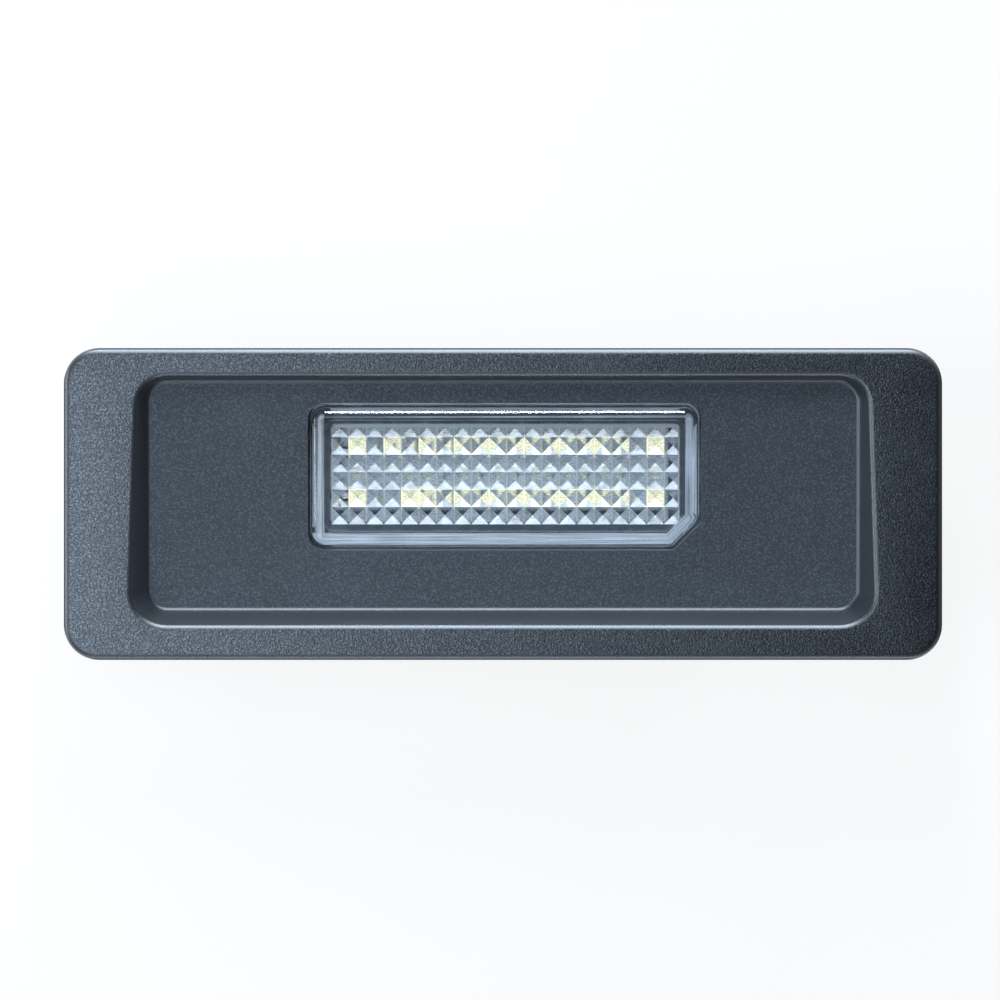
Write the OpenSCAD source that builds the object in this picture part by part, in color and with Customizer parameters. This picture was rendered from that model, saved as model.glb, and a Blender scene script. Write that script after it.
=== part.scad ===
// Number plate lamp: a black face plate with a sunken tilted tray and a clear LED lens.
// It lies on its back with the face up. The origin is at the centre of the bottom plane.
// X runs along the face plate, Y runs across it, and Z comes out of the face.

/* [Face plate] */
// Length of the face plate
plate_w = 100; // [98:1:112]
// Height of the face plate
plate_h = 35.5; // [35:0.5:42]
// Thickness of the face plate
plate_t = 2.2; // [1.8:0.1:3]
// Corner radius of the face plate
plate_r = 4; // [3:0.5:6]
// Rounding of its front edge
plate_edge = 0.8; // [0.4:0.1:1.2]
// Height of the face above the bottom of the lamp
face_z = 20; // [19:0.5:26]

/* [Tray] */
// From the ends of the plate to the flat tray floor
tray_end = 9.8; // [9:0.1:11]
// From the long sides of the plate to the flat tray floor, on average
tray_side = 5.05; // [4.9:0.05:5.6]
// Shift of the floor centre from the plate centre
tray_y = 1.02; // [0.8:0.02:1.2]
// Depth of the floor below the face at the middle
tray_deep = 4; // [3.5:0.1:4.6]
// Tilt of the floor in degrees
tray_tilt = 5; // [3:0.5:6]
// Corner radius of the flat floor
tray_r = 2; // [1.5:0.1:3]
// Slope of the end walls in degrees
end_draft = 20; // [15:1:21]
// Slope of the long walls in degrees
side_draft = 14.5; // [11:0.5:15]
// Rounding between the floor and the walls
floor_round = 0.6; // [0.4:0.1:0.8]
// Rounding between the walls and the face
mouth_round = 0.75; // [0.5:0.05:0.8]
// Wall thickness of the tray
wall_t = 1.5; // [1.2:0.1:1.6]
// Thickness of the tray floor
floor_t = 2; // [1.8:0.1:2.2]

/* [Lens] */
// Length of the lens
lens_w = 44.2; // [43:0.2:46]
// Height of the lens
lens_h = 16.2; // [15.6:0.2:16.6]
// Position of the lens along the plate
lens_x = 0.2; // [-1:0.1:1]
// Shift of the lens off the middle of the floor, as a share of the room there
lens_shift = 0.49; // [0:0.01:0.6]
// Corner radius of the lens
lens_r = 1.6; // [1.5:0.1:2]
// Size of the cut corner that keys the lens
lens_cut = 3; // [2:0.1:3.4]
// Gap between the lens and its opening
lens_gap = 0.35; // [0.2:0.05:0.5]
// How far the lens stands above the tray floor
lens_proud = 1; // [0.6:0.1:1.6]
// Thickness of the lens front
lens_panel = 1.5; // [1.2:0.1:1.8]
// Thickness of the lens side walls
lens_wall = 1.5; // [1.2:0.1:1.6]
// Rounding of the lens front edge
lens_round = 1.2; // [0.8:0.05:1.3]
// Width of the lip round the back of the lens
lip_w = 1.5; // [1.2:0.1:1.6]
// Thickness of the lip
lip_t = 1.2; // [1:0.1:1.4]
// Thickness of the sealing ring
seal_t = 0.6; // [0.5:0.1:0.9]

/* [Prisms] */
// Pitch of the pyramid prisms
prism_pitch = 2; // [1.9:0.05:2.1]
// Slope of the pyramid sides in degrees
prism_slope = 25; // [20:1:28]

/* [Lights] */
// Height of one light
led_t = 0.7; // [0.5:0.05:0.8]
// Rim of a light round its square window
led_rim = 0.2; // [0.15:0.05:0.3]
// Distance of the lights from the lens lip
board_drop = 1.1; // [0.9:0.1:1.3]
// Thickness of the circuit board
board_t = 1; // [0.8:0.1:1.2]

/* [Lamp case] */
// Thickness of the case walls
case_t = 1.5; // [1.4:0.1:1.6]
// Clearance of the board in the case
board_gap = 0.3; // [0.2:0.05:0.4]
// Clearance between the case and its collar
collar_gap = 0.3; // [0.2:0.05:0.4]
// Thickness of the collar and its snap fingers
collar_t = 1.2; // [1:0.1:1.4]
// Length of the plug socket
socket_l = 11; // [10:0.5:12]
// Inner width of the plug socket
socket_w = 12.1; // [11:0.1:12.4]
// Inner height of the plug socket
socket_h = 6.2; // [5.6:0.1:6.4]

/* [Fixing] */
// How far the plate covers the panel at its ends
cover_end = 5.8; // [5:0.1:6.4]
// How far the plate covers the panel at its long sides
cover_side = 1.55; // [1.3:0.05:1.7]
// Thickness of the gasket
gasket_t = 1.2; // [1:0.1:1.5]
// Thickness of the panel that the lamp clips into
panel_t = 2.2; // [2.1:0.1:2.6]
// Reach of the rigid hook below the plate
hook_reach = 4; // [3:0.2:4.4]
// Thickness of the spring leaf
leaf_t = 0.5; // [0.4:0.05:0.6]
// Width of the spring leaf
leaf_w = 9; // [7:0.5:10]

/* [Hidden] */
$fn = 48;
plate_back = face_z - plate_t;
tray_w = plate_w - 2 * tray_end;
tray_h = plate_h - 2 * tray_side;
// heights in the tilted frame of the tray floor
seal_top = -floor_t;
lip_top = seal_top - seal_t;
lip_low = lip_top - lip_t;
ceiling = lens_proud - lens_panel;
board_top = lip_low - board_drop;
board_low = board_top - board_t;
// the lens and what lies below it
opening_w = lens_w + 2 * lens_gap;
opening_h = lens_h + 2 * lens_gap;
lens_y = tray_y + lens_shift * (tray_h - opening_h) / 2;
lip_long = lens_w + 2 * lip_w;
lip_high = lens_h + 2 * lip_w;
room_w = lip_long - 2 * case_t;
room_h = lip_high - 2 * case_t;
board_w = room_w - 2 * board_gap;
board_h = room_h - 2 * board_gap;
collar_w = lip_long + 2 * collar_gap;
collar_h = lip_high + 2 * collar_gap;
// light mask, clear of the field of prisms
mask_gap = 0.2;
// prisms
prism_h = prism_pitch / 2 * tan(prism_slope);
prism_low = ceiling - 0.02;
prism_left = 2.34 - lens_w / 2;
prism_right = lens_w / 2 - 2.33;
prism_base = 2.68 - lens_h / 2;
prism_top = lens_h / 2 - 2.48;
// rows of lights, measured from the lens centre, as shares of the lens size
led_w = lens_w * 0.052;
led_l = lens_h * 0.16;
led_row_1 = lens_h * 0.1975;
led_row_2 = lens_h * -0.1667;
led_x_1 = [for (x = [-380, -281, -186, -88, 5, 95, 186, 276, 389]) lens_w * x / 1000];
led_x_2 = [for (x = [-380, -243, -186, -88, 5, 95, 186, 276, 389]) lens_w * x / 1000];
// plug socket, measured from the floor centre
socket_wall = 1.2;
socket_z = board_low - 3.6;
blade_w = 2.8;
blade_t = 0.8;
blade_y = 2.5;
// panel seat and fixings
seat_z = plate_back - gasket_t;
catch_z = seat_z - panel_t;
gasket_w = plate_w - 1;
gasket_h = plate_h - 0.7;
cut_w = plate_w - 2 * cover_end;
cut_h = plate_h - 2 * cover_side;
end_x = tray_w / 2 - 0.1;

// the piece to show, or all of them

// SHARED SHAPES

// puts its children in the tilted frame of the tray floor
module tilted() {
  translate([0, 0, face_z - tray_deep]) rotate([tray_tilt, 0, 0]) children();
}

// the same frame with its middle at the lens centre
module at_lens() {
  tilted() translate([lens_x, lens_y, 0]) children();
}

// the same, turned so that X points to the plug socket
module at_socket() {
  at_lens() mirror([1, 0, 0]) children();
}

// a rounded rectangle
module rounded(w, h, r) {
  square([w - 2 * r, h], center = true);
  square([w, h - 2 * r], center = true);
  for (i = [-1, 1], j = [-1, 1]) translate([i * (w / 2 - r), j * (h / 2 - r)]) circle(r);
}

// a rounded rectangle whose lower right corner is cut at 45 degrees
module keyed(w, h, r, c) {
  difference() {
    rounded(w, h, r);
    polygon([[w / 2 - c, -h / 2 - 1], [w / 2 + 1, -h / 2 - 1], [w / 2 + 1, -h / 2 + c],
      [w / 2, -h / 2 + c], [w / 2 - c, -h / 2]]);
  }
}

module keyed_slab(w, h, r, c, low, high) {
  translate([0, 0, low]) linear_extrude(high - low) keyed(w, h, r, c);
}

// the cut corner of a shape that is larger by d on each side
function cut_for(d) = lens_cut + d * (2 - sqrt(2));

// ROUNDED SURFACES MADE RING BY RING

// one outline point of a rounded rectangle: its place and the direction that it faces
arc_n = 8;
function corner_dir(k) = [[1, 1], [-1, 1], [-1, -1], [1, -1]][k];
function outline(w, h, r) = [
  for (k = [0:3], i = [0:arc_n])
    let (a = 90 * k + 90 * i / arc_n, s = corner_dir(k))
      [[s[0] * (w / 2 - r) + r * cos(a), s[1] * (h / 2 - r) + r * sin(a)], [cos(a), sin(a)]]
];

// wall slope for a direction, from the slopes of the end walls and of the long walls
function draft(n) = end_draft * n[0] * n[0] + side_draft * n[1] * n[1];

// a point at a distance out from the outline and a height up
function lift(p, out, up) = [p[0][0] + out * p[1][0], p[0][1] + out * p[1][1], up];

// from the tilted frame to the upright one
function upright(q) = [
  q[0],
  q[1] * cos(tray_tilt) - q[2] * sin(tray_tilt),
  face_z - tray_deep + q[1] * sin(tray_tilt) + q[2] * cos(tray_tilt)
];

// a closed solid from rings of points, low ring first
module from_rings(rings) {
  n = len(rings[0]);
  m = len(rings);
  points = concat(
    [for (ring = rings) for (p = ring) p],
    [[for (c = [0:2]) mean(rings[0], c)], [for (c = [0:2]) mean(rings[m - 1], c)]]
  );
  faces = concat(
    [for (j = [0:m - 2], i = [0:n - 1]) [j * n + i, (j + 1) * n + (i + 1) % n, j * n + (i + 1) % n]],
    [for (j = [0:m - 2], i = [0:n - 1]) [j * n + i, (j + 1) * n + i, (j + 1) * n + (i + 1) % n]],
    [for (i = [0:n - 1]) [i, (i + 1) % n, m * n]],
    [for (i = [0:n - 1]) [(m - 1) * n + (i + 1) % n, (m - 1) * n + i, m * n + 1]]
  );
  polyhedron(points, faces);
}

function total(list, c, i = 0) = i < len(list) ? list[i][c] + total(list, c, i + 1) : 0;
function mean(list, c) = total(list, c) / len(list);

// HOUSING

tray_line = [for (p = outline(tray_w, tray_h, tray_r)) [[p[0][0], p[0][1] + tray_y], p[1]]];

// where the wall of one outline point starts and the direction that it rises in
function wall_start(p) = upright(lift(p, floor_round * tan((90 - draft(p[1])) / 2), 0));
function wall_dir(p) =
  upright(lift([[0, 0], p[1]], sin(draft(p[1])), cos(draft(p[1])))) - upright([0, 0, 0]);

// the wall meets the face here
function wall_end(p) =
  let (s = wall_start(p), d = wall_dir(p)) s + d * (face_z - s[2]) / d[2];

// a point on the rounding between the wall and the face, at an angle from the upright
function mouth_point(p, share) =
  let (
    d = wall_dir(p),
    flat = norm([d[0], d[1]]),
    n = [d[0] / flat, d[1] / flat, 0],
    b = atan2(d[2], flat),
    c = wall_end(p) + n * mouth_round * tan(b / 2) - [0, 0, mouth_round],
    a = 5 + (b - 5) * (1 - share)
  )
    c + mouth_round * (cos(a) * [0, 0, 1] - sin(a) * n);

function mouth_out(p, out, z) =
  let (
    d = wall_dir(p),
    flat = norm([d[0], d[1]]),
    n = [d[0] / flat, d[1] / flat, 0],
    b = atan2(d[2], flat),
    c = wall_end(p) + n * mouth_round * tan(b / 2)
  )
    [c[0] + out * n[0], c[1] + out * n[1], z];

fillet_n = 6;

// the hollow of the tray, with its rounded floor edge and its rounded mouth
module tray_hollow() {
  rings = concat(
    [for (j = [0:fillet_n])
      [for (p = tray_line)
        let (t = (90 - draft(p[1])) * j / fillet_n)
          upright(lift(p, floor_round * sin(t), floor_round * (1 - cos(t))))]],
    [for (j = [0:fillet_n]) [for (p = tray_line) mouth_point(p, j / fillet_n)]],
    [[for (p = tray_line) mouth_out(p, 0.15, face_z + 0.012)]],
    [[for (p = tray_line) mouth_out(p, 0.15, face_z + 2)]]
  );
  from_rings(rings);
}

// the outside of the tray, which runs up into the plate
shell_round = 1.4;
function shell_out(a) =
  floor_round * tan((90 - a) / 2) + wall_t / cos(a) - floor_t * tan(a) - shell_round * tan((90 - a) / 2);
module tray_shell() {
  rings = concat(
    [for (j = [0:fillet_n])
      [for (p = tray_line)
        let (a = draft(p[1]), t = (90 - a) * j / fillet_n)
          upright(lift(p, shell_out(a) + shell_round * sin(t), shell_round * (1 - cos(t)) - floor_t))]],
    [[for (p = tray_line)
      let (
        a = draft(p[1]),
        s = upright(lift(p, shell_out(a) + shell_round * tan((90 - a) / 2), -floor_t)),
        d = wall_dir(p)
      )
        s + d * (plate_back + 0.6 - s[2]) / d[2]]]
  );
  from_rings(rings);
}

// half of a plate profile, with its rounded front edge
function edge_profile(half) = concat(
  [[0, plate_back], [half - 0.3, plate_back], [half, plate_back + 0.3]],
  [for (i = [0:6]) [half - plate_edge * (1 - cos(15 * i)), face_z - plate_edge * (1 - sin(15 * i))]],
  [[0, face_z]]
);

// the face plate from two crossing bars and four corner discs
module plate_body() {
  bar_x = plate_w / 2 - plate_r;
  bar_y = plate_h / 2 - plate_r;
  for (a = [0, 180]) rotate([0, 0, a]) {
    translate([-bar_x, 0, 0]) rotate([90, 0, 90]) linear_extrude(2 * bar_x)
      polygon(edge_profile(plate_h / 2));
    translate([0, bar_y, 0]) rotate([90, 0, 0]) linear_extrude(2 * bar_y)
      polygon(edge_profile(plate_w / 2));
  }
  for (i = [-1, 1], j = [-1, 1]) translate([i * bar_x, j * bar_y, 0])
    rotate_extrude() polygon(edge_profile(plate_r));
}

// the collar that holds the case, with four snap fingers
finger_w = 6;
finger_x = lens_w * 0.295;
finger_low = -9.4;
catch_low = -8;
module collar() {
  outer_w = collar_w + 2 * collar_t;
  outer_h = collar_h + 2 * collar_t;
  at_lens() {
    difference() {
      keyed_slab(outer_w, outer_h, 3.2, cut_for(lip_w + collar_gap + collar_t), -5, -floor_t + 0.4);
      keyed_slab(collar_w, collar_h, 2.2, cut_for(lip_w + collar_gap), -6, -floor_t);
      for (i = [-1, 1], j = [-1, 1], k = [-1, 1])
        translate([i * finger_x + k * (finger_w / 2 + 0.5) - 0.5, j * (collar_h / 2 + collar_t / 2) - 1.5, -6])
          cube([1, 3, 3.4]);
    }
    for (i = [-1, 1], j = [0, 180]) rotate([0, 0, j]) translate([i * finger_x - finger_w / 2, collar_h / 2, 0]) {
      translate([0, 0, finger_low]) cube([finger_w, collar_t, -finger_low - floor_t + 0.4]);
      rotate([90, 0, 90]) linear_extrude(finger_w)
        polygon([[0.3, catch_low], [0.3, finger_low + 0.1], [0, finger_low + 0.1],
          [-0.5 - collar_gap, catch_low - 0.5], [-0.5 - collar_gap, catch_low]]);
    }
  }
}

// ribs under the tray that stiffen it between the collar and its ends
rib_t = 1.2;
module tray_ribs() {
  for (i = [0, 1], j = [-1, 1])
    at_lens() mirror([i, 0, 0]) translate([collar_w / 2 + 0.4, j * lens_h * 0.31 - rib_t / 2, -floor_t - 1.6])
      cube([tray_w / 2 - collar_w / 2 - 2, rib_t, 2]);
}

// the rigid hook at the left end
hook_x = cut_w / 2 - 0.4;
module hook() {
  translate([-end_x - 0.3, 0, 0]) rotate([90, 0, 180]) linear_extrude(16, center = true)
    polygon([[-2, catch_z - 2.8], [2.2, catch_z - 2.8], [hook_x - end_x - 0.3, catch_z - 2.4],
      [hook_x - end_x + hook_reach - 0.8, catch_z - 2.4], [hook_x - end_x + hook_reach, catch_z - 1.6],
      [hook_x - end_x + hook_reach, catch_z - 0.5], [hook_x - end_x + hook_reach - 0.5, catch_z],
      [hook_x - end_x - 0.3, catch_z], [hook_x - end_x - 0.3, plate_back + 0.4], [-2, plate_back + 0.4]]);
}

// the tongue at the right end that carries the spring clip
tongue_low = 4.2;
module tongue() {
  translate([end_x - 1.3, -leaf_w / 2 - 0.5, tongue_low]) cube([2, leaf_w + 1, 16 - tongue_low]);
  for (j = [-1, 1]) translate([end_x - 4.3, j * (leaf_w / 2 + 1.2) - 0.7, 7.2]) cube([5, 1.4, 8.4]);
  // the nib that snaps into the window of the leaf
  translate([end_x - 1.3, 0, 9]) rotate([90, 0, 0]) linear_extrude(2.6, center = true)
    polygon([[0.2, -1.2], [0, -1.2], [-0.45, 0.9], [-0.45, 1.1], [0.2, 1.1]]);
}

// short ribs on the long walls that centre the lamp in its panel
module centring_ribs() {
  for (i = [-1, 1] * tray_w * 0.323, j = [-1, 1])
    translate([i - 0.7, j > 0 ? tray_y + tray_h / 2 + 1.08 : -cut_h / 2 + 0.35, catch_z - 1.2])
      cube([1.4, cut_h / 2 - tray_h / 2 - tray_y - 1.43 + (j > 0 ? 0 : 0.7), plate_back - catch_z + 1.6]);
}

module housing() color([0.1, 0.1, 0.11]) {
  difference() {
    union() {
      plate_body();
      tray_shell();
      hook();
      tongue();
      centring_ribs();
      collar();
      tray_ribs();
    }
    tray_hollow();
    at_lens() keyed_slab(opening_w, opening_h, lens_r + lens_gap, cut_for(lens_gap), -4, 3);
  }
}

// GASKET, a ring of soft rubber behind the plate

module gasket() color([0.16, 0.16, 0.16]) {
  translate([0, 0, seat_z]) linear_extrude(gasket_t) difference() {
    rounded(gasket_w, gasket_h, plate_r - 0.5);
    rounded(cut_w - 0.4, cut_h - 0.4, 2.2);
  }
}

// SPRING CLIP, a folded steel leaf on the tongue

function bow(cx, cz, r, a0, a1, n) = [for (i = [0:n]) let (a = a0 + (a1 - a0) * i / n) [cx + r * cos(a), cz + r * sin(a)]];
leaf_in = end_x - 1.3;
leaf_out = end_x + 0.7;
fold_r = (leaf_out - leaf_in) / 2;
fold_x = (leaf_out + leaf_in) / 2;
bow_x = cut_w / 2 + 0.6;
bow_z = catch_z - 3.6;

module spring_clip() color([0.72, 0.73, 0.75]) {
  difference() {
    rotate([90, 0, 0]) linear_extrude(leaf_w, center = true) polygon(concat(
      [[leaf_in, 11.4], [leaf_in - leaf_t, 11.6]],
      [[leaf_in - leaf_t, tongue_low]],
      bow(fold_x, tongue_low, fold_r + leaf_t, 195, 345, 10),
      [[leaf_out + leaf_t, tongue_low]],
      bow(bow_x - 1.5, bow_z, 1.5 + leaf_t / 2, -42, 50, 6),
      [[hook_x + leaf_t - 0.35, catch_z + 0.2], [hook_x - 0.75, catch_z + 0.9], [hook_x - 0.95, catch_z + 0.45],
        [hook_x - 0.35, catch_z - 0.2]],
      bow(bow_x - 1.5, bow_z, 1.5 - leaf_t / 2, 50, -42, 6),
      [[leaf_out, tongue_low + 0.6], [leaf_out, tongue_low]],
      [[leaf_in, tongue_low]]
    ));
    // window for the nib
    translate([leaf_in - 2, -1.5, 7.6]) cube([2.1, 3, 2.6]);
  }
}

// LENS, clear, with its prisms on the inner side of the front

function turn(cx, cy, from, to, n) = [
  for (i = [0:n]) let (a = from + (to - from) * i / n)
    [[cx + lens_r * cos(a), cy + lens_r * sin(a)], [cos(a), sin(a)]]
];
turn_x = lens_w / 2 - lens_r;
turn_y = lens_h / 2 - lens_r;
cut_in = lens_cut + lens_r * tan(22.5);
lens_line = concat(
  turn(turn_x, turn_y, 0, 90, 8),
  turn(-turn_x, turn_y, 90, 180, 8),
  turn(-turn_x, -turn_y, 180, 270, 8),
  turn(lens_w / 2 - cut_in, -turn_y, 270, 315, 4),
  turn(turn_x, cut_in - lens_h / 2, 315, 360, 4)
);

// the block of the lens, with its rounded front edge
module lens_block() {
  rings = concat(
    [[for (p = lens_line) lift(p, 0, lip_low + 0.3)]],
    [for (j = [0:9])
      [for (p = lens_line)
        lift(p, -lens_round * (1 - cos(10 * j)), lens_proud - lens_round * (1 - sin(10 * j)))]]
  );
  from_rings(rings);
}

// zigzag bars, one set along X and one along Y, whose overlap is a field of pyramids
function tooth(x, start) =
  let (t = (x - start) / prism_pitch, f = t - floor(t)) prism_h * (1 - abs(2 * f - 1));
function zigzag(from, to, start, low, top) = concat(
  [[to, top], [from, top], [from, low - tooth(from, start)]],
  [for (x = [start - prism_pitch / 2:prism_pitch / 2:to])
    if (x > from + 0.01 && x < to - 0.01) [x, low - tooth(x, start)]],
  [[to, low - tooth(to, start)]]
);

module prisms() {
  top = ceiling + 0.3;
  intersection() {
    translate([0, lens_h / 2, 0]) rotate([90, 0, 0]) linear_extrude(lens_h)
      polygon(zigzag(prism_left, prism_right, prism_left + prism_pitch * 0.97, prism_low, top));
    translate([-lens_w / 2, 0, 0]) rotate([90, 0, 90]) linear_extrude(lens_w)
      polygon(zigzag(prism_base, prism_top, prism_base + prism_pitch, prism_low - 0.006, top));
  }
}

module lens() color([0.86, 0.89, 0.92, 0.45]) at_lens() {
  difference() {
    union() {
      lens_block();
      keyed_slab(lip_long, lip_high, lens_r + lip_w, cut_for(lip_w), lip_low, lip_top);
    }
    keyed_slab(lens_w - 2 * lens_wall, lens_h - 2 * lens_wall - 0.3, 1.15, cut_for(-lens_wall), lip_low - 1, ceiling);
  }
  prisms();
}

// SEALING RING between the lip of the lens and the back of the tray

module lens_seal() color([0.2, 0.2, 0.2]) at_lens() {
  translate([0, 0, lip_top]) linear_extrude(seal_t - 0.01) difference() {
    keyed(lip_long - 0.4, lip_high - 0.4, lens_r + lip_w - 0.2, cut_for(lip_w - 0.2));
    keyed(opening_w, opening_h, lens_r + lens_gap, cut_for(lens_gap));
  }
}

// LAMP CASE, a box behind the lens with a plug socket on its left end

// the box cut level at the bottom, with walls square to the tray floor
module level_box(w, h, r, c, low_z, top) {
  intersection() {
    at_lens() keyed_slab(w, h, r, c, -30, top);
    translate([-60, -40, low_z]) cube([120, 80, 30]);
  }
}

ledge_w = 1;
module lamp_case() color([0.13, 0.13, 0.14]) {
  difference() {
    union() {
      level_box(lip_long, lip_high, lens_r + lip_w, cut_for(lip_w), 0, lip_low);
      at_socket() translate([lip_long / 2 - 0.5, -socket_w / 2 - socket_wall, socket_z - socket_h / 2 - socket_wall])
        cube([socket_l + 0.5, socket_w + 2 * socket_wall, socket_h + 2 * socket_wall]);
      // the nib below the socket that a plug latches on
      at_socket() translate([lip_long / 2 + socket_l - 4, 0, socket_z - socket_h / 2 - socket_wall]) rotate([90, 0, 0])
        linear_extrude(4, center = true) polygon([[0, 0.2], [0, -0.9], [0.4, -0.9], [3, -0.1], [3, 0.2]]);
    }
    // the room for the board, and the narrower room below it
    at_lens() keyed_slab(room_w, room_h, lens_r, cut_for(lip_w - case_t), board_low, 5);
    level_box(room_w - 2 * ledge_w, room_h - 2 * ledge_w, 1, cut_for(lip_w - case_t - ledge_w), case_t, 5);
    at_socket() {
      // the hollow of the plug socket
      translate([lip_long / 2 + 0.6, -socket_w / 2, socket_z - socket_h / 2]) cube([socket_l + 1, socket_w, socket_h]);
      // keying slots in the socket
      for (j = [-1, 1]) translate([lip_long / 2 + 2.6, j * 3.6 - 0.6, socket_z + socket_h / 2 - 0.4])
        cube([socket_l, 1.2, 1]);
      // slots that the blades sit in
      for (j = [-1, 1]) translate([lip_long / 2 - 6, j * blade_y - blade_w / 2, socket_z - blade_t / 2])
        cube([8, blade_w, blade_t]);
    }
    at_lens() {
      // notches for the snap fingers
      for (i = [-1, 1], j = [0, 180]) rotate([0, 0, j])
        translate([i * finger_x - finger_w / 2 - 0.3, lip_high / 2 - 0.6, finger_low - 0.4])
          cube([finger_w + 0.6, 2, catch_low - finger_low + 0.4]);
    }
  }
}

// LIGHT MASK, a dark frame that holds the board down below the lens

module light_mask() color([0.1, 0.1, 0.11]) at_lens() difference() {
  keyed_slab(board_w, board_h, lens_r - board_gap, cut_for(lip_w - case_t - board_gap), board_top, lip_low);
  translate([(prism_left + prism_right) / 2, (prism_base + prism_top) / 2, board_top - 1])
    linear_extrude(board_drop + 2)
      rounded(prism_right - prism_left + 2 * mask_gap, prism_top - prism_base + 2 * mask_gap, 0.5);
}

// CIRCUIT BOARD, with a hole for each terminal pin

pin_t = 0.8;
pin_x = lip_long / 2 - case_t - ledge_w - 1.7;
blade_out = socket_l - 2.4;
blade_in = 1.6;
module circuit_board() color([0.93, 0.93, 0.92]) at_lens() {
  difference() {
    keyed_slab(board_w, board_h, lens_r - board_gap, cut_for(lip_w - case_t - board_gap), board_low, board_top);
    for (j = [-1, 1]) translate([-pin_x, j * blade_y, board_low - 1]) cylinder(d = 1.3, h = board_t + 2, $fn = 24);
  }
}

// LIGHTS, each a white block with a square window

module led(x, y) color([0.95, 0.94, 0.82]) at_lens() translate([x, y, board_top]) difference() {
  translate([-led_w / 2, -led_l / 2, 0]) cube([led_w, led_l, led_t]);
  translate([led_rim - led_w / 2, led_rim - led_w / 2, led_t - 0.08])
    cube([led_w - 2 * led_rim, led_w - 2 * led_rim, 1]);
}
module led_top(i) led(led_x_1[i], led_row_1);
module led_low(i) led(led_x_2[i], led_row_2);

// PARTS ON THE BACK OF THE BOARD

module chip(x, y, w, l, t) at_lens() translate([x - w / 2, y - l / 2, board_low - t]) cube([w, l, t]);
module resistor(i) color([0.12, 0.12, 0.12]) chip(lens_w * (0.111 * i - 0.33), lens_h * 0.25, 3.2, 1.6, 0.6);
module diode() color([0.1, 0.1, 0.1]) chip(lens_w * 0.321, lens_h * 0.03, 4.3, 2.6, 2.2);
module suppressor() color([0.1, 0.1, 0.1]) chip(lens_w * 0.321, lens_h * -0.2, 4.3, 2.6, 2.2);
module capacitor() color([0.62, 0.5, 0.36]) chip(lens_w * 0.09, lens_h * -0.15, 3.2, 2.5, 1.6);

// TERMINALS, two blades that bend up to the board

module terminal(j) color([0.8, 0.78, 0.7]) at_socket() {
  translate([lip_long / 2 - case_t - blade_in, j * blade_y - blade_w / 2, socket_z - blade_t / 2])
    cube([case_t + blade_in + blade_out, blade_w, blade_t]);
  translate([pin_x - pin_t / 2, j * blade_y - pin_t / 2, socket_z - blade_t / 2])
    cube([lip_long / 2 - case_t - blade_in + 0.6 - pin_x, pin_t, blade_t]);
  translate([pin_x - pin_t / 2, j * blade_y - pin_t / 2, socket_z - blade_t / 2])
    cube([pin_t, pin_t, board_top - socket_z + blade_t / 2 + 0.4]);
}

housing();
gasket();
spring_clip();
lens();
lens_seal();
lamp_case();
light_mask();
circuit_board();
led_top(0);  // led_01
led_top(1);  // led_02
led_top(2);  // led_03
led_top(3);  // led_04
led_top(4);  // led_05
led_top(5);  // led_06
led_top(6);  // led_07
led_top(7);  // led_08
led_top(8);  // led_09
led_low(0);  // led_10
led_low(1);  // led_11
led_low(2);  // led_12
led_low(3);  // led_13
led_low(4);  // led_14
led_low(5);  // led_15
led_low(6);  // led_16
led_low(7);  // led_17
led_low(8);  // led_18
resistor(0);  // resistor_1
resistor(1);  // resistor_2
resistor(2);  // resistor_3
resistor(3);  // resistor_4
resistor(4);  // resistor_5
resistor(5);  // resistor_6
diode();
suppressor();
capacitor();
terminal(-1);  // terminal_1
terminal(1);  // terminal_2
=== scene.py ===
import math

import bmesh
import bpy
from mathutils import Matrix, Vector


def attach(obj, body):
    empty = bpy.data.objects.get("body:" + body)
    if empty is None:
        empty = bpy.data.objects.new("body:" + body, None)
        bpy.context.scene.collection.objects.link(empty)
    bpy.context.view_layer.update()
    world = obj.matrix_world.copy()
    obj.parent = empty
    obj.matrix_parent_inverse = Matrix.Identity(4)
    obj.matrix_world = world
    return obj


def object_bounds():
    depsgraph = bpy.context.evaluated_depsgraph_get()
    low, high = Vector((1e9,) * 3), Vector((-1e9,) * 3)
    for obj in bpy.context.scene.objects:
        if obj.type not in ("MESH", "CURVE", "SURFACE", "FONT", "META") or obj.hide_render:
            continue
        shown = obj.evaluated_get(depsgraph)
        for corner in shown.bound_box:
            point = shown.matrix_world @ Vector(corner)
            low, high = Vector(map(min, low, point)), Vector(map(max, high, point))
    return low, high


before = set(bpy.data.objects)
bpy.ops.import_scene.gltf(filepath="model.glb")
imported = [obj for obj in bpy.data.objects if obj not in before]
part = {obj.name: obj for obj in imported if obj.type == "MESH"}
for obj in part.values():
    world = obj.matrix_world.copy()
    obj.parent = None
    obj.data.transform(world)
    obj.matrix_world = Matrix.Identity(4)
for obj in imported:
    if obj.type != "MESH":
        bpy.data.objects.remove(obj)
cad_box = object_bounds()

# CAMERA
# A long lens looks straight down on the face of the lamp, which lies on its
# back, so that the plate fills the width of the picture as in the photograph.
view_width = 0.1138
view_middle = (-0.00034, 0.000455)
face_height = cad_box[1][2]
lens_length = 500.0
sensor_width = 36.0
camera_data = bpy.data.cameras.new("camera")
camera_data.lens = lens_length
camera_data.sensor_width = sensor_width
camera_data.clip_end = 20.0
camera = bpy.data.objects.new("camera", camera_data)
camera.location = (*view_middle, face_height + view_width * lens_length / sensor_width)
bpy.context.scene.collection.objects.link(camera)
bpy.context.scene.camera = camera


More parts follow.
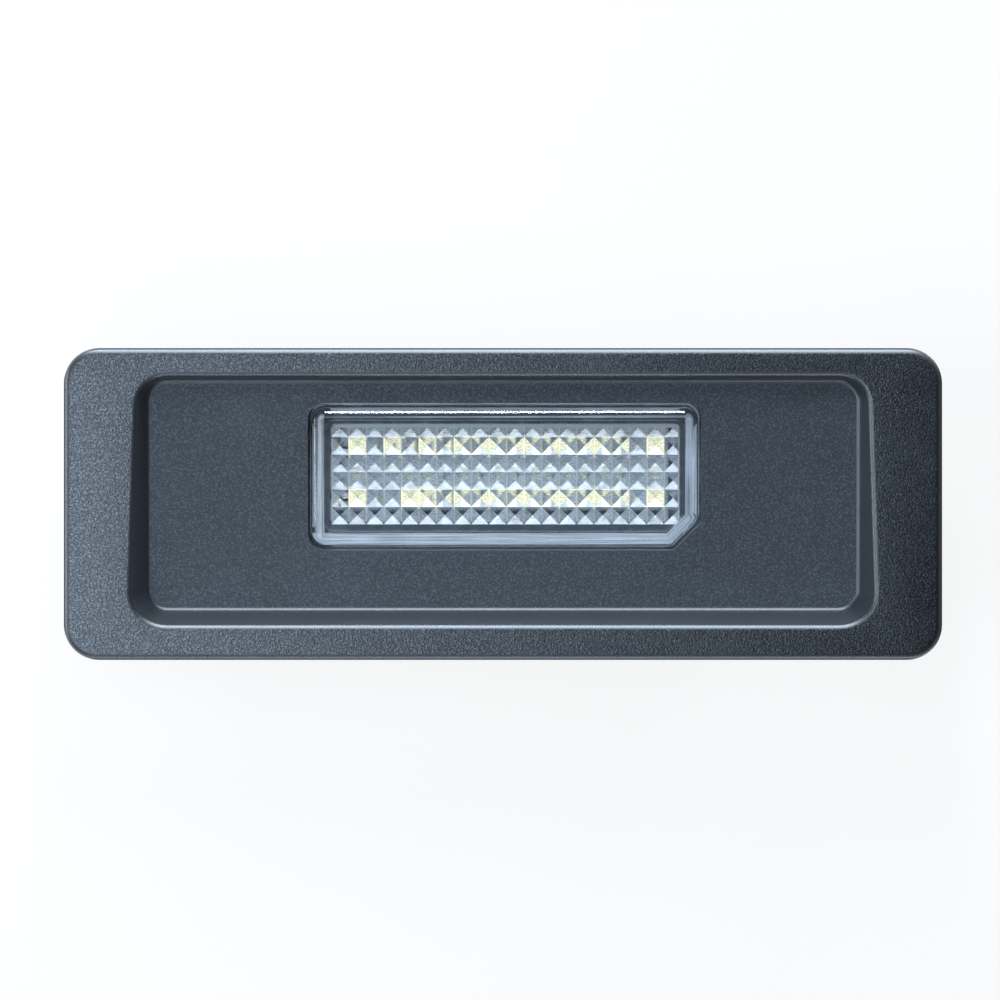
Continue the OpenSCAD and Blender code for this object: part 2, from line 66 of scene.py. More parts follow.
# FACE PLATE AND TRAY
# One black moulding of impact-proof plastic: the grained face plate, the tray
# with its tilted floor, and behind them the collar, the hook and the tongue.
# It is injection moulded, and the tool is etched, which gives the fine grain.
def new_finish(name):
    finish = bpy.data.materials.new(name)
    finish.use_nodes = True
    return finish, finish.node_tree, finish.node_tree.nodes["Principled BSDF"]


# an input is named by its label or, as n0 or n1, by its number
def put(tree, kind, settings=None, **plugs):
    node = tree.nodes.new(kind)
    for key, value in (settings or {}).items():
        setattr(node, key, value)
    for key, value in plugs.items():
        plug = node.inputs[int(key[1:]) if key[0] == "n" and key[1:].isdigit() else key.replace("_", " ")]
        if isinstance(value, bpy.types.NodeSocket):
            tree.links.new(value, plug)
        else:
            plug.default_value = value
    return node


def new_group(name, numbers, results):
    group = bpy.data.node_groups.new(name, "ShaderNodeTree")
    for label, value in numbers.items():
        socket = group.interface.new_socket(label, in_out="INPUT", socket_type="NodeSocketFloat")
        socket.default_value = value
    for label, kind in results.items():
        group.interface.new_socket(label, in_out="OUTPUT", socket_type=kind)
    return group, group.nodes.new("NodeGroupInput"), group.nodes.new("NodeGroupOutput")


def combine(tree, a, b, operation="ADD"):
    return put(tree, "ShaderNodeMath", {"operation": operation}, n0=a, n1=b).outputs[0]


def between(tree, value, low, high, to_low=0.0, to_high=1.0, soft=True):
    kind = "SMOOTHSTEP" if soft else "LINEAR"
    node = put(tree, "ShaderNodeMapRange", {"interpolation_type": kind}, Value=value)
    for label, number in (("From Min", low), ("From Max", high), ("To Min", to_low), ("To Max", to_high)):
        node.inputs[label].default_value = number
    return node.outputs[0]


def two_colours(tree, seam_glow_mask, first, second):
    node = put(tree, "ShaderNodeMix", {"data_type": "RGBA"}, Factor=seam_glow_mask)
    for plug, value in ((6, first), (7, second)):
        if isinstance(value, bpy.types.NodeSocket):
            tree.links.new(value, node.inputs[plug])
        else:
            node.inputs[plug].default_value = (*value, 1)
    return node.outputs[2]


def bump(tree, height, distance, strength=1.0):
    return put(tree, "ShaderNodeBump", Height=height, Distance=distance, Strength=strength).outputs[0]


# the etched grain of the tool: small rounded pebbles with finer pits between them
moulded_grain, way_in, way_out = new_group(
    "moulded grain", {"Scale": 2100.0}, {"Height": "NodeSocketFloat", "Tone": "NodeSocketFloat"}
)
place = moulded_grain.nodes.new("ShaderNodeTexCoord").outputs["Object"]
pebbles = put(moulded_grain, "ShaderNodeTexNoise", Vector=place, Scale=way_in.outputs[0], Detail=2.0,
              Roughness=0.7, Distortion=0.6)
fine_scale = combine(moulded_grain, way_in.outputs[0], 0.9, "MULTIPLY")
cells = put(moulded_grain, "ShaderNodeTexVoronoi", {"feature": "F1"}, Vector=place, Scale=fine_scale)
cell_height = combine(moulded_grain, cells.outputs["Distance"], 0.3, "MULTIPLY")
height = combine(moulded_grain, pebbles.outputs["Fac"], cell_height, "SUBTRACT")
slow = put(moulded_grain, "ShaderNodeTexNoise", Vector=place, Scale=160.0, Detail=4.0, Roughness=0.6)
moulded_grain.links.new(height, way_out.inputs["Height"])
moulded_grain.links.new(slow.outputs["Fac"], way_out.inputs["Tone"])


def from_group(tree, group, **numbers):
    node = tree.nodes.new("ShaderNodeGroup")
    node.node_tree = group
    for key, value in numbers.items():
        node.inputs[key].default_value = value
    return node


# faint grey haze and rubbed spots from handling
handling, way_in, way_out = new_group(
    "handling marks", {"Scale": 60.0, "Amount": 0.5}, {"Mask": "NodeSocketFloat"}
)
place = handling.nodes.new("ShaderNodeTexCoord").outputs["Object"]
clouds = put(handling, "ShaderNodeTexNoise", Vector=place, Scale=way_in.outputs[0], Detail=6.0,
             Roughness=0.68)
spots = between(handling, clouds.outputs["Fac"], 0.46, 0.78)
handling.links.new(combine(handling, spots, way_in.outputs[1], "MULTIPLY"), way_out.inputs["Mask"])

plate_finish, tree, shader = new_finish("grained black plastic")
grain = from_group(tree, moulded_grain, Scale=4200.0)
marks = from_group(tree, handling, Scale=70.0, Amount=0.30)
facing = put(tree, "ShaderNodeSeparateXYZ", Vector=tree.nodes.new("ShaderNodeNewGeometry").outputs["Normal"])
place = tree.nodes.new("ShaderNodeTexCoord").outputs["Object"]
etched = between(tree, facing.outputs["Z"], 0.93, 0.990)
on_plate = between(tree, put(tree, "ShaderNodeSeparateXYZ", Vector=place).outputs["Z"], 0.0190, 0.0198)
coarse = between(tree, on_plate, 0.0, 1.0, 0.35, 1.0, False)
grain_share = combine(tree, combine(tree, etched, coarse, "MULTIPLY"), 0.06, "MAXIMUM")
grain_height = combine(tree, grain.outputs["Height"], grain_share, "MULTIPLY")
tree.links.new(bump(tree, grain_height, 0.00006), shader.inputs["Normal"])
# the etched faces are greyer than the smooth walls and edges, and most of all in the tray, where the grain is
# also
# shallower than on the plate: the tray's lighter grey is painted light, for the light that falls on its floor
raised = between(tree, grain.outputs["Height"], 0.24, 0.50)
# painted shade: the pits of the grain are coloured darker than its raised specks, as well as the grain's own
# tone
raised_specks_and_pit_shade = between(tree, grain.outputs["Height"], 0.34, 0.48)
plate_grey = two_colours(tree, raised_specks_and_pit_shade, (0.001, 0.001, 0.001), (0.015, 0.018, 0.022))
tray_painted_light_grey = two_colours(tree, raised_specks_and_pit_shade, (0.019, 0.023, 0.028), (0.056, 0.067, 0.079))
etched_grey_painted_light = two_colours(tree, on_plate, tray_painted_light_grey, plate_grey)
smooth_black = two_colours(tree, grain.outputs["Tone"], (0.003, 0.004, 0.005), (0.005, 0.006, 0.008))
base = two_colours(tree, etched, smooth_black, etched_grey_painted_light)
haze = combine(tree, marks.outputs["Mask"], etched, "MULTIPLY")
tree.links.new(two_colours(tree, haze, base, (0.040, 0.047, 0.056)), shader.inputs["Base Color"])
# the pits of the grain are matte and its raised parts keep some sheen
uneven = between(tree, grain.outputs["Tone"], 0.3, 0.7, -0.02, 0.02)
plate_rough = between(tree, raised, 0.0, 1.0, 0.36, 0.23, False)
tray_rough = between(tree, raised, 0.0, 1.0, 0.74, 0.66, False)
off_plate = combine(tree, 1.0, on_plate, "SUBTRACT")
etched_rough = combine(tree, combine(tree, plate_rough, on_plate, "MULTIPLY"),
                       combine(tree, tray_rough, off_plate, "MULTIPLY"))
# the narrow outer side of the plate is matte, and so are the walls that face right
half_long = cad_box[1][0]
half_high = cad_box[1][1]
matte_from = 0.00022
matte_full = 0.00010
from_middle = put(tree, "ShaderNodeVectorMath", {"operation": "ABSOLUTE"}, n0=place).outputs[0]
to_side = put(tree, "ShaderNodeSeparateXYZ", Vector=from_middle)
matte_ends = between(tree, to_side.outputs["X"], half_long - matte_from, half_long - matte_full)
matte_sides = between(tree, to_side.outputs["Y"], half_high - matte_from, half_high - matte_full)
matte_walls = between(tree, facing.outputs["X"], 0.60, 0.80)
matte = combine(tree, combine(tree, matte_ends, matte_sides, "MAXIMUM"), matte_walls, "MAXIMUM")
not_matte = combine(tree, 1.0, matte, "SUBTRACT")
smooth_share = combine(tree, 1.0, etched, "SUBTRACT")
smooth_rough = combine(tree, smooth_share, 0.46, "MULTIPLY")
rough = combine(tree, combine(tree, etched_rough, etched, "MULTIPLY"), smooth_rough)
tree.links.new(combine(tree, combine(tree, rough, uneven), combine(tree, matte, 0.4, "MULTIPLY")),
               shader.inputs["Roughness"])
shader.inputs["Specular IOR Level"].default_value = 1.0
shader.inputs["Specular Tint"].default_value = (0.74, 0.86, 1.0, 1)
# the smooth walls and roundings have a harder gloss, and so has the raised grain
glossy_walls = combine(tree, smooth_share, not_matte, "MULTIPLY")
glossy_grain = combine(tree, combine(tree, raised_specks_and_pit_shade, etched, "MULTIPLY"), on_plate, "MULTIPLY")
tree.links.new(combine(tree, glossy_walls, glossy_grain, "MAXIMUM"), shader.inputs["Coat Weight"])
shader.inputs["Coat Roughness"].default_value = 0.42
shader.inputs["Coat IOR"].default_value = 1.6

# a node's mesh comes split along its faces: this joins it again and shades it
# smooth, apart from the edges that are sharper than the angle
smooth_tree = bpy.data.node_groups.new("smooth between sharp edges", "GeometryNodeTree")
smooth_tree.interface.new_socket("Geometry", in_out="INPUT", socket_type="NodeSocketGeometry")
smooth_tree.interface.new_socket("Sharp angle", in_out="INPUT", socket_type="NodeSocketFloat")
smooth_tree.interface.new_socket("Geometry", in_out="OUTPUT", socket_type="NodeSocketGeometry")
way_in = smooth_tree.nodes.new("NodeGroupInput")
way_out = smooth_tree.nodes.new("NodeGroupOutput")
joined = smooth_tree.nodes.new("GeometryNodeMergeByDistance")
joined.inputs["Distance"].default_value = 2e-6
smooth_faces = smooth_tree.nodes.new("GeometryNodeSetShadeSmooth")
sharp_edges = smooth_tree.nodes.new("GeometryNodeSetShadeSmooth")
sharp_edges.domain = "EDGE"
sharp_edges.inputs["Shade Smooth"].default_value = False
edge_angle = smooth_tree.nodes.new("GeometryNodeInputMeshEdgeAngle")
is_sharp = smooth_tree.nodes.new("FunctionNodeCompare")
is_sharp.operation = "GREATER_THAN"
smooth_tree.links.new(way_in.outputs["Geometry"], joined.inputs["Geometry"])
smooth_tree.links.new(joined.outputs[0], smooth_faces.inputs["Geometry"])
smooth_tree.links.new(smooth_faces.outputs[0], sharp_edges.inputs["Geometry"])
smooth_tree.links.new(edge_angle.outputs["Unsigned Angle"], is_sharp.inputs[0])
smooth_tree.links.new(way_in.outputs["Sharp angle"], is_sharp.inputs[1])
smooth_tree.links.new(is_sharp.outputs[0], sharp_edges.inputs["Selection"])
smooth_tree.links.new(sharp_edges.outputs[0], way_out.inputs["Geometry"])
angle_socket = [s for s in smooth_tree.interface.items_tree if s.name == "Sharp angle"][0].identifier


def finish_node(name, finish, sharp=32.0, edge=0.0):
    piece = part[name]
    mesh = piece.data
    if "custom_normal" in mesh.attributes:
        mesh.attributes.remove(mesh.attributes["custom_normal"])
    for slot in range(len(mesh.materials)):
        mesh.materials[slot] = finish
    step = piece.modifiers.new("smooth", "NODES")
    step.node_group = smooth_tree
    step[angle_socket] = math.radians(sharp)
    if edge:
        worn = piece.modifiers.new("rounded edges", "BEVEL")
        worn.width = edge
        worn.segments = 2
        worn.limit_method = "ANGLE"
        worn.angle_limit = math.radians(sharp)
        worn.use_clamp_overlap = True
        worn.harden_normals = True
    else:
        weighted = piece.modifiers.new("even shading", "WEIGHTED_NORMAL")
        weighted.keep_sharp = True
    return piece


finish_node("housing", plate_finish, 38.0, 0.00016)


# GASKET
# A flat ring of soft black rubber behind the plate, cut from sheet. It is
# squeezed between the plate and the panel and keeps water out.
rubber_finish, tree, shader = new_finish("soft rubber")
grain = from_group(tree, moulded_grain, Scale=5200.0)
marks = from_group(tree, handling, Scale=130.0, Amount=0.8)
tree.links.new(bump(tree, grain.outputs["Height"], 0.00003), shader.inputs["Normal"])
tree.links.new(two_colours(tree, marks.outputs["Mask"], (0.020, 0.021, 0.022), (0.075, 0.074, 0.071)),
               shader.inputs["Base Color"])
tree.links.new(between(tree, marks.outputs["Mask"], 0.0, 0.8, 0.62, 0.85), shader.inputs["Roughness"])
finish_node("gasket", rubber_finish, 30.0, 0.00015)


# SPRING CLIP
# A leaf of spring steel, 0.5 mm thick, blanked and folded round the tongue. A
# nib on the tongue snaps into its window, and its bow catches the panel.
steel_finish, tree, shader = new_finish("spring steel")
place = put(tree, "ShaderNodeMapping", Vector=tree.nodes.new("ShaderNodeTexCoord").outputs["Object"],
            Scale=(1.0, 26.0, 1.0))
rolled = put(tree, "ShaderNodeTexNoise", Vector=place.outputs[0], Scale=420.0, Detail=5.0, Roughness=0.7)
marks = from_group(tree, handling, Scale=210.0, Amount=0.9)
tree.links.new(two_colours(tree, marks.outputs["Mask"], (0.60, 0.61, 0.62), (0.40, 0.39, 0.37)),
               shader.inputs["Base Color"])
tree.links.new(between(tree, rolled.outputs["Fac"], 0.3, 0.7, 0.22, 0.42), shader.inputs["Roughness"])
tree.links.new(bump(tree, rolled.outputs["Fac"], 0.000006), shader.inputs["Normal"])
shader.inputs["Metallic"].default_value = 1.0
finish_node("spring_clip", steel_finish, 32.0, 0.00008)


# LENS
# A clear polycarbonate moulding with a cut corner. Its front is smooth, its
# inner side has a field of pyramid prisms, and a lip behind holds it in place.
tray_tilt = math.radians(5.0)
up_from_tray = (0.0, -math.sin(tray_tilt), math.cos(tray_tilt))
up_the_tray = (0.0, math.cos(tray_tilt), math.sin(tray_tilt))
front_starts = 0.01560
prism_pitch = 0.0020
prism_left = -0.01956
prism_base = -0.0009255
flat_half = 0.00003

lens_finish, tree, shader = new_finish("clear lens")
place = tree.nodes.new("ShaderNodeTexCoord").outputs["Object"]
flow = put(tree, "ShaderNodeTexNoise", Vector=place, Scale=900.0, Detail=2.0, Roughness=0.5)
height = put(tree, "ShaderNodeVectorMath", {"operation": "DOT_PRODUCT"}, n0=place, n1=up_from_tray)
front = between(tree, height.outputs["Value"], front_starts, front_starts + 0.00015)
tool_marks = between(tree, flow.outputs["Fac"], 0.3, 0.7, 0.08, 0.18)
inner = combine(tree, tool_marks, combine(tree, 1.0, front, "SUBTRACT"), "MULTIPLY")
tree.links.new(combine(tree, inner, 0.015), shader.inputs["Roughness"])
# painted highlight and shade: prism faces that lean to +Y are tinted light, those that lean to -Y dark, and
# sideways ones between
flat_normal = tree.nodes.new("ShaderNodeNewGeometry").outputs["True Normal"]
leaning = put(tree, "ShaderNodeSeparateXYZ", Vector=flat_normal)
sloped = between(tree, leaning.outputs["Z"], 0.70, 0.84)
painted_lit_faces = combine(tree, between(tree, leaning.outputs["Y"], 0.10, 0.25), sloped, "MULTIPLY")
painted_shaded_faces = combine(tree, between(tree, leaning.outputs["Y"], -0.45, -0.25, 1.0, 0.0), sloped, "MULTIPLY")
lean_x = combine(tree, leaning.outputs["X"], 0.0, "ABSOLUTE")
painted_half_shaded_faces = combine(tree, between(tree, lean_x, 0.2, 0.35), sloped, "MULTIPLY")
turned = put(tree, "ShaderNodeMapping", Vector=place, Rotation=(0.0, 0.0, 0.8), Scale=(1.0, 2.6, 1.0))
scoring = put(tree, "ShaderNodeTexNoise", Vector=turned.outputs[0], Scale=3200.0, Detail=2.0, Roughness=0.8)
scored = between(tree, scoring.outputs["Fac"], 0.38, 0.62)
side_shade = two_colours(tree, scored, (0.34, 0.38, 0.43), (0.80, 0.84, 0.89))
dark_shade = two_colours(tree, scored, (0.18, 0.22, 0.27), (0.52, 0.56, 0.62))
light_shade = two_colours(tree, scored, (0.60, 0.63, 0.68), (0.88, 0.90, 0.94))
shade = two_colours(tree, painted_half_shaded_faces, (0.90, 0.94, 0.97), side_shade)
shade = two_colours(tree, painted_shaded_faces, shade, dark_shade)
shade = two_colours(tree, painted_lit_faces, shade, light_shade)
# narrow flats where the prisms meet, one pitch apart each way
across = put(tree, "ShaderNodeSeparateXYZ", Vector=place).outputs["X"]
upward = put(tree, "ShaderNodeVectorMath", {"operation": "DOT_PRODUCT"}, n0=place, n1=up_the_tray)
from_left = combine(tree, across, prism_left, "SUBTRACT")
to_line_x = combine(tree, from_left, prism_pitch / 2, "PINGPONG")
from_base = combine(tree, upward.outputs["Value"], prism_base, "SUBTRACT")
to_line_y = combine(tree, from_base, prism_pitch / 2, "PINGPONG")
to_line = combine(tree, to_line_x, to_line_y, "MINIMUM")
flats = between(tree, to_line, flat_half, flat_half + 0.00005, 1.0, 0.0)
shade = two_colours(tree, combine(tree, flats, sloped, "MULTIPLY"), shade, (1.0, 1.0, 1.0))
# painted shade: the steep foot of the rounded rim takes in little light, and it is tinted dark here
rim = between(tree, leaning.outputs["Z"], 0.42, 0.70)
clear_front = two_colours(tree, rim, (0.03, 0.04, 0.05), (0.95, 0.98, 1.0))
tree.links.new(two_colours(tree, front, shade, clear_front), shader.inputs["Base Color"])
tree.links.new(bump(tree, flow.outputs["Fac"], 0.000008), shader.inputs["Normal"])
shader.inputs["Transmission Weight"].default_value = 1.0
shader.inputs["IOR"].default_value = 1.58
clear = put(tree, "ShaderNodeBsdfTransparent")
clear.inputs["Color"].default_value = (0.93, 0.96, 1.0, 1)
to_lamps = tree.nodes.new("ShaderNodeLightPath").outputs["Is Shadow Ray"]
lets_light_in = put(tree, "ShaderNodeMixShader", n0=to_lamps, n1=shader.outputs[0], n2=clear.outputs[0])
tree.links.new(lets_light_in.outputs[0], tree.nodes["Material Output"].inputs["Surface"])
finish_node("lens", lens_finish, 20.0)


# PALE SEAM
# A pale, streaky band lies where the lip of the lens meets the dark frame below it. It is
# painted light: it stands for the glow that shines up through the side walls of the lens.
tray_frame = Matrix.Translation((0, 0, 0.016)) @ Matrix.Rotation(tray_tilt, 4, "X")
lens_frame = tray_frame @ Matrix.Translation((0.0002, 0.00310, 0.0))
lens_long = 0.0442
lens_high = 0.0162
lens_corner = 0.0016
lens_cut = 0.0030
corner_steps = 6
seam_top = -0.003795
seam_low = -0.00384
seam_wide = 0.0014
seam_past = 0.0001
seam_foot = 0.00005
seam_steps = 6
streaks_per_metre = 20


def new_piece(name, mesh_work, finish):
    mesh = bpy.data.meshes.new(name)
    mesh_work.to_mesh(mesh)
    mesh_work.free()
    mesh.materials.append(finish)
    piece = bpy.data.objects.new(name, mesh)
    bpy.context.scene.collection.objects.link(piece)
    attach(piece, "root")
    return piece


seam_painted_light_finish, tree, shader = new_finish("pale seam, painted light")
along = put(tree, "ShaderNodeMapping", Vector=tree.nodes.new("ShaderNodeTexCoord").outputs["UV"],
            Scale=(5.0, 13.0, 1.0))
streaks_and_seam_glow = put(tree, "ShaderNodeTexNoise", Vector=along.outputs[0], Scale=1.0, Detail=3.0, Roughness=0.6)
seam_glow_mask = between(tree, streaks_and_seam_glow.outputs["Fac"], 0.30, 0.70)
# painted light: the streaks of the seam are coloured pale, for the glow seen through the lens walls
tree.links.new(two_colours(tree, seam_glow_mask, (0.19, 0.21, 0.235), (0.60, 0.625, 0.66)), shader.inputs["Base Color"])
tree.links.new(between(tree, seam_glow_mask, 0.0, 1.0, 0.45, 0.25), shader.inputs["Roughness"])
tree.links.new(bump(tree, streaks_and_seam_glow.outputs["Fac"], 0.00004), shader.inputs["Normal"])


def lens_outline(inset):
    points = []
    wide, high, radius = lens_long / 2, lens_high / 2, lens_corner
    reach = lens_cut + radius * math.tan(math.radians(22.5))
    turns = ((wide - radius, high - radius, 0, 90), (radius - wide, high - radius, 90, 180),
             (radius - wide, radius - high, 180, 270), (wide - reach, radius - high, 270, 315),
             (wide - radius, reach - high, 315, 360))
    for x, y, start, end in turns:
        for step in range(corner_steps + 1):
            angle = math.radians(start + (end - start) * step / corner_steps)
            reach_in = radius - inset
            points.append(Vector((x + reach_in * math.cos(angle), y + reach_in * math.sin(angle), 0)))
    return points


work = bmesh.new()
share_map = work.loops.layers.uv.new("along and across")
rings = []
profile = [(-seam_past, seam_low), (-seam_past, seam_top)]
profile += [(seam_past + seam_wide * i / seam_steps, seam_top) for i in range(seam_steps + 1)]
profile += [(seam_past + seam_wide + seam_foot, seam_low)]
for inset, height in profile:
    lift = Vector((0, 0, height))
    rings.append([work.verts.new(lens_frame @ (point + lift)) for point in lens_outline(inset)])
run = [0.0]
edge_points = lens_outline(0.0)
for here, there in zip(edge_points, edge_points[1:] + edge_points[:1]):
    run.append(run[-1] + (there - here).length * streaks_per_metre)
for ring in range(len(rings) - 1):
    for i in range(len(rings[0])):
        j = (i + 1) % len(rings[0])
        face = work.faces.new((rings[ring][i], rings[ring][j], rings[ring + 1][j], rings[ring + 1][i]))
        near = ring / (len(rings) - 1)
        far = (ring + 1) / (len(rings) - 1)
        shares = ((run[i], near), (run[i + 1], near), (run[i + 1], far), (run[i], far))
        for loop, share in zip(face.loops, shares):
            loop[share_map].uv = share
new_piece("pale_seam_painted_light", work, seam_painted_light_finish)


# SEALING RING
# A thin ring of black rubber between the lip of the lens and the back of the
# tray floor, pressed flat by the snap fingers.
finish_node("lens_seal", rubber_finish, 30.0)


# LAMP CASE
# A box of black glass-filled plastic that the snap fingers hold in the collar.
# The plug socket, its latch nib and its keying slots are moulded on.
case_finish, tree, shader = new_finish("satin black plastic")
grain = from_group(tree, moulded_grain, Scale=3600.0)
marks = from_group(tree, handling, Scale=95.0, Amount=0.6)
drawn = put(tree, "ShaderNodeMapping", Vector=tree.nodes.new("ShaderNodeTexCoord").outputs["Object"],
            Scale=(1.0, 7.0, 7.0))
streaks_and_seam_glow = put(tree, "ShaderNodeTexNoise", Vector=drawn.outputs[0], Scale=150.0, Detail=5.0, Roughness=0.65)
tree.links.new(bump(tree, grain.outputs["Height"], 0.00002), shader.inputs["Normal"])
base = two_colours(tree, streaks_and_seam_glow.outputs["Fac"], (0.016, 0.018, 0.021), (0.032, 0.034, 0.038))
tree.links.new(two_colours(tree, marks.outputs["Mask"], base, (0.060, 0.062, 0.066)),
               shader.inputs["Base Color"])
tree.links.new(between(tree, streaks_and_seam_glow.outputs["Fac"], 0.3, 0.7, 0.34, 0.48), shader.inputs["Roughness"])
finish_node("lamp_case", case_finish, 32.0, 0.00018)


# LIGHT MASK
# A matte dark frame under the lens lip. It holds the circuit board down and
# hides its edge, so that a dark band shows round the prisms.
mask_finish, tree, shader = new_finish("matte dark frame")
grain = from_group(tree, moulded_grain, Scale=4200.0)
tree.links.new(bump(tree, grain.outputs["Height"], 0.00002), shader.inputs["Normal"])
tree.links.new(two_colours(tree, grain.outputs["Tone"], (0.030, 0.037, 0.047), (0.044, 0.054, 0.067)),
               shader.inputs["Base Color"])
tree.links.new(between(tree, grain.outputs["Tone"], 0.3, 0.7, 0.55, 0.7), shader.inputs["Roughness"])
finish_node("light_mask", mask_finish, 30.0)


# CIRCUIT BOARD
# A glass-epoxy board with white solder resist on the side of the lights. It
# rests on the ledge of the case and two terminal pins come up through it.
board_finish, tree, shader = new_finish("white solder resist")
weave = put(tree, "ShaderNodeTexBrick", Vector=tree.nodes.new("ShaderNodeTexCoord").outputs["Object"],
            Scale=900.0)
marks = from_group(tree, handling, Scale=240.0, Amount=0.7)
tree.links.new(bump(tree, weave.outputs["Fac"], 0.000006, 0.4), shader.inputs["Normal"])
tree.links.new(two_colours(tree, marks.outputs["Mask"], (0.50, 0.52, 0.52), (0.41, 0.43, 0.44)),
               shader.inputs["Base Color"])
tree.links.new(between(tree, marks.outputs["Mask"], 0.0, 0.6, 0.30, 0.45), shader.inputs["Roughness"])
finish_node("circuit_board", board_finish, 30.0)


# LIGHTS
# Eighteen chip lights in two rows of nine, soldered to the board. Each is a
# cream block with a square window of phosphor; the glow of both is painted light.
package_finish, tree, shader = new_finish("cream package, painted glow")
marks = from_group(tree, handling, Scale=400.0, Amount=0.6)
tree.links.new(two_colours(tree, marks.outputs["Mask"], (0.76, 0.73, 0.56), (0.69, 0.66, 0.49)),
               shader.inputs["Base Color"])
tree.links.new(between(tree, marks.outputs["Mask"], 0.0, 0.6, 0.35, 0.5), shader.inputs["Roughness"])
# painted light: the cream block is given a faint glow of its own
shader.inputs["Emission Color"].default_value = (1.0, 0.95, 0.62, 1)
shader.inputs["Emission Strength"].default_value = 0.12
shader.inputs["Specular IOR Level"].default_value = 0.1

phosphor_finish, tree, shader = new_finish("phosphor, painted glow")
speckle = put(tree, "ShaderNodeTexNoise", Vector=tree.nodes.new("ShaderNodeTexCoord").outputs["Object"],
              Scale=9000.0, Detail=3.0, Roughness=0.6)
tree.links.new(two_colours(tree, speckle.outputs["Fac"], (0.26, 0.24, 0.14), (0.32, 0.29, 0.18)),
               shader.inputs["Base Color"])
tree.links.new(two_colours(tree, speckle.outputs["Fac"], (1.0, 0.97, 0.66), (1.0, 0.99, 0.73)),
               shader.inputs["Emission Color"])
tree.links.new(between(tree, speckle.outputs["Fac"], 0.3, 0.7, 0.35, 0.55), shader.inputs["Roughness"])
# painted light: the phosphor is given a bright glow of its own
shader.inputs["Emission Strength"].default_value = 1.1
shader.inputs["Specular IOR Level"].default_value = 0.1

board_face = -0.0049
light_height = 0.0007
light_width = lens_long * 0.052
window_rim = 0.0002
window_gap = 0.00001
window_depth = 0.00006
crown = 0.00007
top_row = [lens_long * x / 1000 for x in (-380, -281, -186, -88, 5, 95, 186, 276, 389)]
low_row = [lens_long * x / 1000 for x in (-380, -243, -186, -88, 5, 95, 186, 276, 389)]
places = [(x, lens_high * 0.1975) for x in top_row] + [(x, lens_high * -0.1667) for x in low_row]


def phosphor_window(name, x, y):
    work = bmesh.new()
    half = light_width / 2 - window_rim - window_gap
    low = board_face + light_height - window_depth
    steps = 8
    grid = []
    for i in range(steps + 1):
        row = []
        for j in range(steps + 1):
            u = 2 * i / steps - 1
            v = 2 * j / steps - 1
            rise = crown * (1 - u * u) * (1 - v * v)
            row.append(work.verts.new(lens_frame @ Vector((x + half * u, y + half * v, low + rise))))
        grid.append(row)
    for i in range(steps):
        for j in range(steps):
            work.faces.new((grid[i][j], grid[i + 1][j], grid[i + 1][j + 1], grid[i][j + 1]))
    for face in work.faces:
        face.smooth = True
    return new_piece(name, work, phosphor_finish)


for count, (x, y) in enumerate(places, 1):
    finish_node("led_%02d" % count, package_finish, 30.0, 0.00004)
    phosphor_window("phosphor_%02d" % count, x, y)


# PARTS ON THE BACK OF THE BOARD
# Six chip resistors, one for each string of three lights, with the diode, the
# surge suppressor and the capacitor, all soldered under the board.
def chip_finish(name, dark, light, low, high):
    finish, tree, shader = new_finish(name)
    marks = from_group(tree, handling, Scale=700.0, Amount=0.9)
    tree.links.new(two_colours(tree, marks.outputs["Mask"], dark, light), shader.inputs["Base Color"])
    tree.links.new(between(tree, marks.outputs["Mask"], 0.0, 0.8, low, high), shader.inputs["Roughness"])
    grain = from_group(tree, moulded_grain, Scale=9000.0)
    tree.links.new(bump(tree, grain.outputs["Height"], 0.00001), shader.inputs["Normal"])
    return finish


resistor_finish = chip_finish("resistor glaze", (0.012, 0.012, 0.014), (0.03, 0.03, 0.033), 0.25, 0.4)
moulding_finish = chip_finish("chip moulding", (0.018, 0.018, 0.019), (0.05, 0.05, 0.05), 0.5, 0.7)
ceramic_finish = chip_finish("tan ceramic", (0.42, 0.30, 0.18), (0.50, 0.38, 0.25), 0.4, 0.55)
for count in range(1, 7):
    finish_node("resistor_%d" % count, resistor_finish, 30.0, 0.00005)
for name in ("diode", "suppressor"):
    finish_node(name, moulding_finish, 30.0, 0.0001)
finish_node("capacitor", ceramic_finish, 30.0, 0.0001)


# TERMINALS
# Two tinned brass blades, pressed through the wall of the case. Each bends up
# to a pin that is soldered into the board.
tin_finish, tree, shader = new_finish("tinned brass")
marks = from_group(tree, handling, Scale=500.0, Amount=0.9)
tree.links.new(two_colours(tree, marks.outputs["Mask"], (0.74, 0.72, 0.66), (0.55, 0.48, 0.36)),
               shader.inputs["Base Color"])
tree.links.new(between(tree, marks.outputs["Mask"], 0.0, 0.8, 0.28, 0.45), shader.inputs["Roughness"])
shader.inputs["Metallic"].default_value = 1.0
for name in ("terminal_1", "terminal_2"):
    finish_node(name, tin_finish, 30.0, 0.00008)


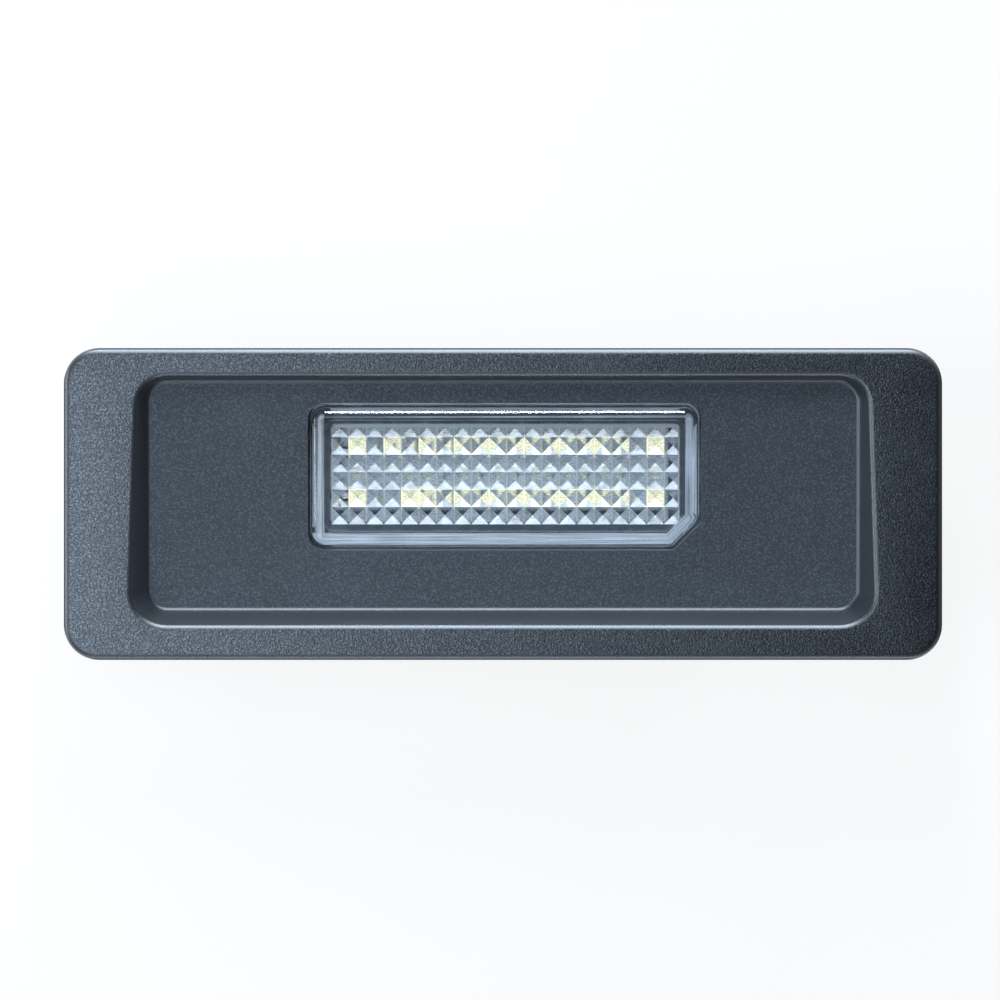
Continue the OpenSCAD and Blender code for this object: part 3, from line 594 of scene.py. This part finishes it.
# FLOOR AND LIGHTS OF THE STUDIO
# A white table under the lamp. Three soft boxes hang over its left half and give
# the sheen of the plate, low strips beyond three sides draw the bright edges,
# and a small panel beyond the top draws the line along the rim of the lens.
floor_finish, tree, shader = new_finish("white table")
tree.links.new(two_colours(tree, put(tree, "ShaderNodeTexNoise", Scale=3.0, Detail=2.0).outputs["Fac"],
                           (0.93, 0.93, 0.93), (0.95, 0.95, 0.95)), shader.inputs["Base Color"])
shader.inputs["Roughness"].default_value = 0.9
shader.inputs["Specular IOR Level"].default_value = 0.0
glow = put(tree, "ShaderNodeEmission", Strength=1.0)
path = tree.nodes.new("ShaderNodeLightPath")
seen = combine(tree, combine(tree, path.outputs["Is Camera Ray"], path.outputs["Is Glossy Ray"]),
               path.outputs["Is Transmission Ray"])
share = put(tree, "ShaderNodeMath", {"operation": "MULTIPLY", "use_clamp": True}, n0=seen, n1=0.85)
white = put(tree, "ShaderNodeMixShader", n0=share.outputs[0], n1=shader.outputs[0], n2=glow.outputs[0])
tree.links.new(white.outputs[0], tree.nodes["Material Output"].inputs["Surface"])
work = bmesh.new()
corners = [work.verts.new((x, y, -0.0001)) for x, y in ((-6, -6), (6, -6), (6, 6), (-6, 6))]
work.faces.new(corners)
floor_mesh = bpy.data.meshes.new("table")
work.to_mesh(floor_mesh)
work.free()
floor_mesh.materials.append(floor_finish)
floor = bpy.data.objects.new("table", floor_mesh)
bpy.context.scene.collection.objects.link(floor)


def soft_light(name, where, wide, high, brightness, aim=None):
    data = bpy.data.lights.new(name, "AREA")
    data.shape = "RECTANGLE"
    data.size = wide
    data.size_y = high
    data.energy = brightness * math.pi * wide * high
    data.color = (0.82, 0.91, 1.0)
    light = bpy.data.objects.new(name, data)
    light.location = where
    if aim is not None:
        light.rotation_euler = (Vector(aim) - Vector(where)).to_track_quat("-Z", "Y").to_euler()
    light.visible_camera = False
    bpy.context.scene.collection.objects.link(light)


face_middle = (0.0, 0.0, face_height)
soft_light("key box", (-0.100, -0.054, 0.200), 0.13, 0.15, 4.0)
soft_light("upper box", (-0.074, 0.034, 0.200), 0.10, 0.06, 4.1)
soft_light("lower box", (-0.030, -0.085, 0.200), 0.10, 0.05, 2.4)
soft_light("top strip", (0.0, 0.45, 0.105), 0.35, 0.15, 17.0, face_middle)
soft_light("left strip", (-0.45, 0.0, 0.09), 0.25, 0.12, 7.0, face_middle)
soft_light("low strip", (0.0, -0.45, 0.09), 0.35, 0.12, 4.5, face_middle)
soft_light("rim panel", (0.0, 0.33, 0.30), 0.07, 0.18, 22.0, face_middle)
world = bpy.data.worlds.new("studio")
bpy.context.scene.world = world
world.use_nodes = True
world.node_tree.nodes["Background"].inputs["Color"].default_value = (0.88, 0.94, 1.0, 1)
world.node_tree.nodes["Background"].inputs["Strength"].default_value = 0.05
bpy.context.scene.view_settings.view_transform = "Standard"
